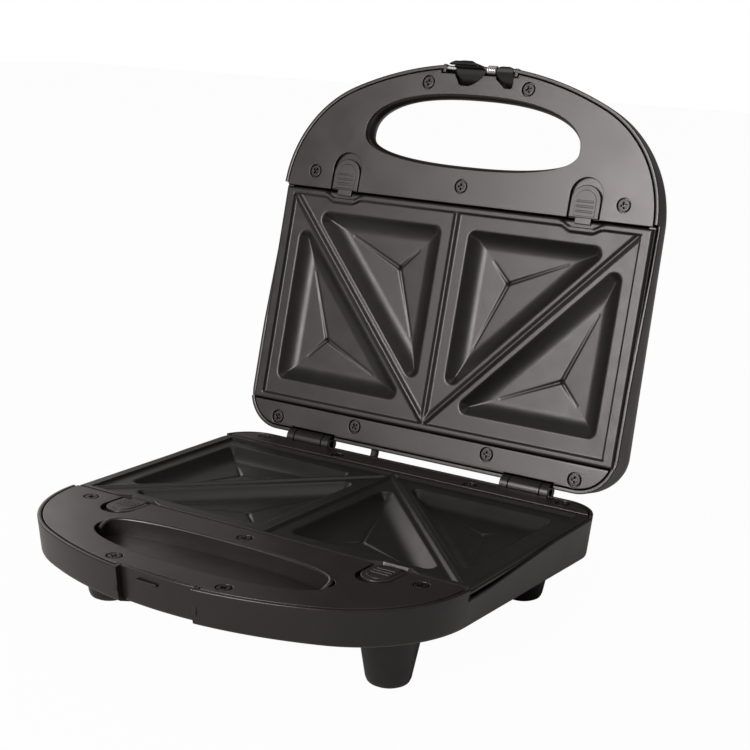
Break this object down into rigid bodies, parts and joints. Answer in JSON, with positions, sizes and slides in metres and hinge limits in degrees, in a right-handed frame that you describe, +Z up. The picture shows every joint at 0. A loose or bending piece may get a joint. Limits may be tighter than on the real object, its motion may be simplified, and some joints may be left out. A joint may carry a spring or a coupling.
{
  "type": "sandwich toaster",
  "caption": "Compact hinged sandwich toaster, opened, with triangular pocket plates, a grip hole in the lid and a sprung latch.",
  "frame": {"origin": "bottom centre of the bounding box at rest, with the lid open, on the face of the foot pads", "axes": "+Z up, -Y towards the handle of the lower half, +X to the right as seen from the handle; the hinge axis is along X"},
  "size_m": [0.226, 0.2836, 0.258],
  "materials": {
    "case_black": "satin",
    "deck_black": "satin",
    "nonstick": "matte",
    "reflector_sheet": "polished",
    "heater_steel": "brushed",
    "ceramic": "matte",
    "sheet_steel": "satin",
    "wire_sleeve": "matte",
    "lead_rubber": "matte",
    "clip_black": "satin",
    "spring_steel": "satin",
    "screw_steel": "polished",
    "brass": "satin",
    "block_nylon": "matte",
    "foot_black": "satin",
    "pad_rubber": "matte",
    "pin_steel": "polished",
    "latch_black": "satin",
    "lens_red": "gloss",
    "lens_green": "gloss",
    "lamp_glass": "gloss"
  },
  "bodies": {
    "base": {"base_cover": "case_black", "base_frame": "deck_black", "base_plate": "nonstick", "base_reflector": "reflector_sheet", "base_heater": "heater_steel", "base_heater_bushes": "ceramic", "base_heater_saddles": "sheet_steel", "base_wiring": "wire_sleeve", "base_clip_springs": "spring_steel", "base_screws": "screw_steel", "thermostat": "brass", "thermal_fuse": "ceramic", "terminal_block": "block_nylon", "cord_gland": "lead_rubber", "foot_front_left": "foot_black", "foot_front_right": "foot_black", "foot_rear_left": "foot_black", "foot_rear_right": "foot_black", "foot_pads": "pad_rubber", "foot_screws": "screw_steel", "hinge_pin_left": "pin_steel", "hinge_pin_right": "pin_steel", "hinge_lead": "lead_rubber"},
    "lid": {"lid_cover": "case_black", "lid_frame": "deck_black", "lid_plate": "nonstick", "lid_reflector": "reflector_sheet", "lid_heater": "heater_steel", "lid_heater_bushes": "ceramic", "lid_heater_saddles": "sheet_steel", "lid_wiring": "wire_sleeve", "lid_clip_springs": "spring_steel", "lid_screws": "screw_steel", "power_lens": "lens_red", "ready_lens": "lens_green", "power_lamp": "lamp_glass", "ready_lamp": "lamp_glass", "latch_pin": "pin_steel", "latch_spring": "spring_steel"},
    "base_clip_l": {"base_clip_left": "clip_black"},
    "base_clip_r": {"base_clip_right": "clip_black"},
    "lid_clip_l": {"lid_clip_left": "clip_black"},
    "lid_clip_r": {"lid_clip_right": "clip_black"},
    "latch_body": {"latch": "latch_black"}
  },
  "joints": [
    {"name": "lid_hinge", "type": "hinge", "parent": "base", "child": "lid", "pos_m": [0, 0.07135, 0.048], "axis": [1, 0, 0], "range_deg": [0, 103.2], "deforming": ["hinge_lead"]},
    {"name": "base_clip_left_slide", "type": "slide", "parent": "base", "child": "base_clip_l", "axis": [0, -1, 0], "range_m": [0, 0.0035], "stiffness_N_per_m": 900, "springref_m": -0.002, "deforming": ["base_clip_springs"]},
    {"name": "base_clip_right_slide", "type": "slide", "parent": "base", "child": "base_clip_r", "axis": [0, -1, 0], "range_m": [0, 0.0035], "stiffness_N_per_m": 900, "springref_m": -0.002, "deforming": ["base_clip_springs"]},
    {"name": "lid_clip_left_slide", "type": "slide", "parent": "lid", "child": "lid_clip_l", "axis": [0, 0.2284, 0.9736], "range_m": [0, 0.0035], "stiffness_N_per_m": 900, "springref_m": -0.002, "deforming": ["lid_clip_springs"]},
    {"name": "lid_clip_right_slide", "type": "slide", "parent": "lid", "child": "lid_clip_r", "axis": [0, 0.2284, 0.9736], "range_m": [0, 0.0035], "stiffness_N_per_m": 900, "springref_m": -0.002, "deforming": ["lid_clip_springs"]},
    {"name": "latch_turn", "type": "hinge", "parent": "lid", "child": "latch_body", "pos_m": [0, 0.12196, 0.25327], "axis": [-1, 0, 0], "range_deg": [0, 18], "stiffness_Nm_per_rad": 0.6, "springref_deg": -5.73}
  ]
}
